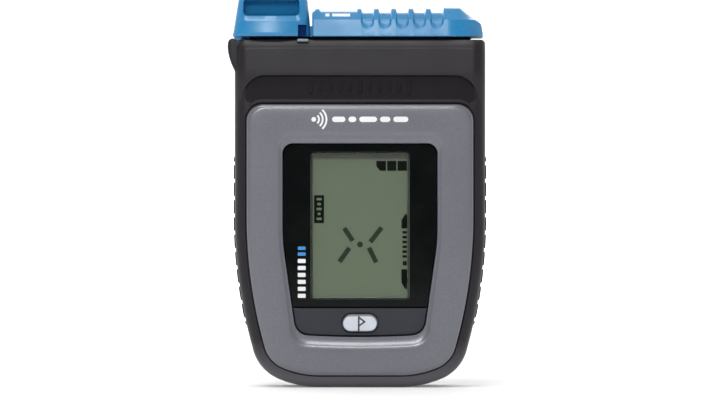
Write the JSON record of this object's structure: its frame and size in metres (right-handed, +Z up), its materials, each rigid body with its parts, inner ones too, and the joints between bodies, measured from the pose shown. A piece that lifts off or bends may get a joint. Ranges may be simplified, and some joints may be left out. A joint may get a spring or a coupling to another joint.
{
  "type": "avalanche transceiver",
  "caption": "Handheld avalanche transceiver with a display, a flag button, a sliding mode switch with a thumb catch, and a hinged battery door.",
  "frame": {"origin": "centre of the bounding box at its lowest face, on the foot that the device stands on", "axes": "+Z up the device from its foot to the mode switch, -Y out of the display, +X to the right as the display is read"},
  "size_m": [0.076, 0.029, 0.118],
  "materials": {
    "casing": "fine satin, dark charcoal",
    "frame": "satin metallic grey paint",
    "blue": "satin, bright blue",
    "rubber": "matte",
    "window": "clear over black print",
    "display": "grey-green liquid crystal",
    "strip": "satin dark grey",
    "button": "satin, pale grey",
    "lens": "milky translucent",
    "board": "green solder mask",
    "chip": "black epoxy",
    "steel": "stainless",
    "copper": "enamelled copper wire",
    "ferrite": "dark grey ceramic",
    "cell": "printed steel can"
  },
  "bodies": {
    "housing": {"front_housing": "casing", "rear_housing": "casing", "side_grip_left": "rubber", "side_grip_right": "rubber", "housing_seal": "rubber", "housing_screw_1": "steel", "housing_screw_2": "steel", "housing_screw_3": "steel", "housing_screw_4": "steel", "leash_bar": "steel", "face_frame": "frame", "display_window": "window", "keypad_strip": "strip", "button_dome": "steel", "slide_rail": "casing", "status_lens": "lens", "detent_ball": "steel", "detent_spring": "steel", "door_seal": "rubber", "door_hinge_pin": "steel", "battery_1": "cell", "battery_2": "cell", "battery_3": "cell", "contact_spring_1": "steel", "contact_spring_2": "steel", "contact_spring_3": "steel", "contact_plate_bottom": "steel", "contact_plate_top": "steel", "lcd_panel": "display", "backlight": "lens", "display_holder": "chip", "contact_strip_bottom": "rubber", "contact_strip_top": "rubber", "main_board": "board", "processor": "chip", "radio_shield": "steel", "clock_crystal": "steel", "hall_sensor_off": "chip", "hall_sensor_send": "chip", "hall_sensor_search": "chip", "speaker": "chip", "antenna_across_core": "ferrite", "antenna_across_coil": "copper", "antenna_upright_core": "ferrite", "antenna_upright_coil": "copper", "antenna_depth_core": "ferrite", "antenna_depth_coil": "copper"},
    "mode_slider": {"mode_slider": "blue", "catch_pin_front": "steel", "catch_pin_rear": "steel", "catch_spring": "steel", "slider_magnet": "steel"},
    "lock_catch": {"lock_catch": "blue"},
    "flag_button": {"flag_button": "button"},
    "battery_door": {"battery_door": "casing"},
    "door_lock": {"door_lock": "steel"}
  },
  "joints": [
    {"name": "mode_slide", "type": "slide", "parent": "housing", "child": "mode_slider", "axis": [1, 0, 0], "range_m": [0, 0.014]},
    {"name": "catch_tilt", "type": "hinge", "parent": "mode_slider", "child": "lock_catch", "pos_m": [-0.01604, 0, 0.105], "axis": [0, 1, 0], "range_deg": [0, 6], "stiffness_Nm_per_rad": 0.3, "springref_deg": -2.86, "deforming": ["catch_spring"]},
    {"name": "button_press", "type": "slide", "parent": "housing", "child": "flag_button", "axis": [0, 1, 0], "range_m": [0, 0.0008], "stiffness_N_per_m": 1500, "springref_m": -0.0002},
    {"name": "door_swing", "type": "hinge", "parent": "housing", "child": "battery_door", "pos_m": [0, 0.0122, 0.006], "axis": [-1, 0, 0], "range_deg": [0, 90]},
    {"name": "lock_turn", "type": "hinge", "parent": "battery_door", "child": "door_lock", "pos_m": [0.00096, 0.0145, 0.065], "axis": [0, 1, 0], "range_deg": [0, 90]}
  ]
}
